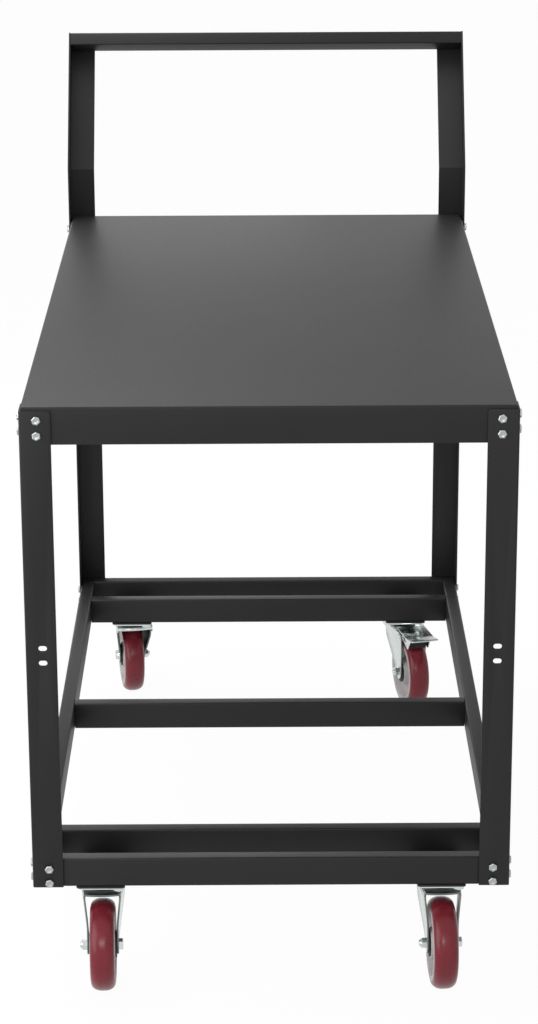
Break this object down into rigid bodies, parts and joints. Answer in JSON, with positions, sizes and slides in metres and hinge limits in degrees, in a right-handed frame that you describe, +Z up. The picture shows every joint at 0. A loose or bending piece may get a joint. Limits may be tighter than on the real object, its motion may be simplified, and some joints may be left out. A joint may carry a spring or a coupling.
{
  "type": "mobile work table",
  "caption": "Black steel work table on swivel casters with red treads, a folded sheet top on angle legs, an open tube base and a leaning push handle.",
  "frame": {"origin": "on the floor, under the middle of the overall box", "axes": "+Z up, +Y along the table towards the push handle, +X to the right of someone facing the plain end"},
  "size_m": [0.6302, 1.2611, 1.0866],
  "materials": {
    "black_powder_coat": "fine-textured satin black powder coat",
    "bright_zinc": "bright zinc plating",
    "bare_steel": "bare drawn steel",
    "maroon_polyurethane": "glossy cast polyurethane",
    "grey_polypropylene": "moulded, satin",
    "black_rubber": "matte"
  },
  "bodies": {
    "table": {"base_rail_center": "black_powder_coat", "base_rail_front": "black_powder_coat", "base_rail_front_inner": "black_powder_coat", "base_rail_left": "black_powder_coat", "base_rail_rear": "black_powder_coat", "base_rail_rear_inner": "black_powder_coat", "base_rail_right": "black_powder_coat", "caster_pad_front_left": "black_powder_coat", "caster_pad_front_right": "black_powder_coat", "caster_pad_rear_left": "black_powder_coat", "caster_pad_rear_right": "black_powder_coat", "caster_plate_front_left": "bright_zinc", "caster_plate_front_right": "bright_zinc", "caster_plate_rear_left": "bright_zinc", "caster_plate_rear_right": "bright_zinc", "handle_bar": "black_powder_coat", "handle_upright_left": "black_powder_coat", "handle_upright_right": "black_powder_coat", "kingpin_front_left": "bright_zinc", "kingpin_front_right": "bright_zinc", "kingpin_rear_left": "bright_zinc", "kingpin_rear_right": "bright_zinc", "leg_front_left": "black_powder_coat", "leg_front_right": "black_powder_coat", "leg_rear_left": "black_powder_coat", "leg_rear_right": "black_powder_coat", "table_top": "black_powder_coat", "top_stiffener": "black_powder_coat"},
    "swivel_front_left": {"swivel_bearing_front_left": "bright_zinc", "fork_front_left": "bright_zinc", "axle_bolt_front_left": "bright_zinc", "axle_nut_front_left": "bright_zinc", "axle_bush_front_left": "bare_steel"},
    "wheel_front_left": {"wheel_core_front_left": "grey_polypropylene", "wheel_tread_front_left": "maroon_polyurethane"},
    "swivel_front_right": {"swivel_bearing_front_right": "bright_zinc", "fork_front_right": "bright_zinc", "axle_bolt_front_right": "bright_zinc", "axle_nut_front_right": "bright_zinc", "axle_bush_front_right": "bare_steel"},
    "wheel_front_right": {"wheel_core_front_right": "grey_polypropylene", "wheel_tread_front_right": "maroon_polyurethane"},
    "swivel_rear_left": {"swivel_bearing_rear_left": "bright_zinc", "fork_rear_left": "bright_zinc", "axle_bolt_rear_left": "bright_zinc", "axle_nut_rear_left": "bright_zinc", "axle_bush_rear_left": "bare_steel"},
    "wheel_rear_left": {"wheel_core_rear_left": "grey_polypropylene", "wheel_tread_rear_left": "maroon_polyurethane"},
    "pedal_rear_left": {"brake_pedal_rear_left": "bright_zinc", "brake_shoe_rear_left": "black_rubber"},
    "swivel_rear_right": {"swivel_bearing_rear_right": "bright_zinc", "fork_rear_right": "bright_zinc", "axle_bolt_rear_right": "bright_zinc", "axle_nut_rear_right": "bright_zinc", "axle_bush_rear_right": "bare_steel"},
    "wheel_rear_right": {"wheel_core_rear_right": "grey_polypropylene", "wheel_tread_rear_right": "maroon_polyurethane"},
    "pedal_rear_right": {"brake_pedal_rear_right": "bright_zinc", "brake_shoe_rear_right": "black_rubber"}
  },
  "joints": [
    {"name": "swivel_front_left", "type": "hinge", "parent": "table", "child": "swivel_front_left", "pos_m": [-0.224, -0.52817, 0.1485], "axis": [0, 0, 1], "continuous": true},
    {"name": "roll_front_left", "type": "hinge", "parent": "swivel_front_left", "child": "wheel_front_left", "pos_m": [-0.22307, -0.56916, 0.061], "axis": [0.9997, 0.0227, 0], "continuous": true},
    {"name": "swivel_front_right", "type": "hinge", "parent": "table", "child": "swivel_front_right", "pos_m": [0.224, -0.52817, 0.1485], "axis": [0, 0, 1], "continuous": true},
    {"name": "roll_front_right", "type": "hinge", "parent": "swivel_front_right", "child": "wheel_front_right", "pos_m": [0.22636, -0.56911, 0.061], "axis": [0.9983, 0.0576, 0], "continuous": true},
    {"name": "swivel_rear_left", "type": "hinge", "parent": "table", "child": "swivel_rear_left", "pos_m": [-0.224, 0.46183, 0.1485], "axis": [0, 0, 1], "continuous": true},
    {"name": "roll_rear_left", "type": "hinge", "parent": "swivel_rear_left", "child": "wheel_rear_left", "pos_m": [-0.23041, 0.50232, 0.061], "axis": [-0.9877, -0.1564, 0], "continuous": true},
    {"name": "brake_rear_left", "type": "hinge", "parent": "swivel_rear_left", "child": "pedal_rear_left", "pos_m": [-0.23214, 0.51319, 0.1262], "axis": [-0.9877, -0.1564, 0], "range_deg": [0, 7]},
    {"name": "swivel_rear_right", "type": "hinge", "parent": "table", "child": "swivel_rear_right", "pos_m": [0.224, 0.46183, 0.1485], "axis": [0, 0, 1], "continuous": true},
    {"name": "roll_rear_right", "type": "hinge", "parent": "swivel_rear_right", "child": "wheel_rear_right", "pos_m": [0.23392, 0.42204, 0.061], "axis": [0.9703, 0.2419, 0], "continuous": true},
    {"name": "brake_rear_right", "type": "hinge", "parent": "swivel_rear_right", "child": "pedal_rear_right", "pos_m": [0.23658, 0.41137, 0.1262], "axis": [0.9703, 0.2419, 0], "range_deg": [0, 7]}
  ]
}
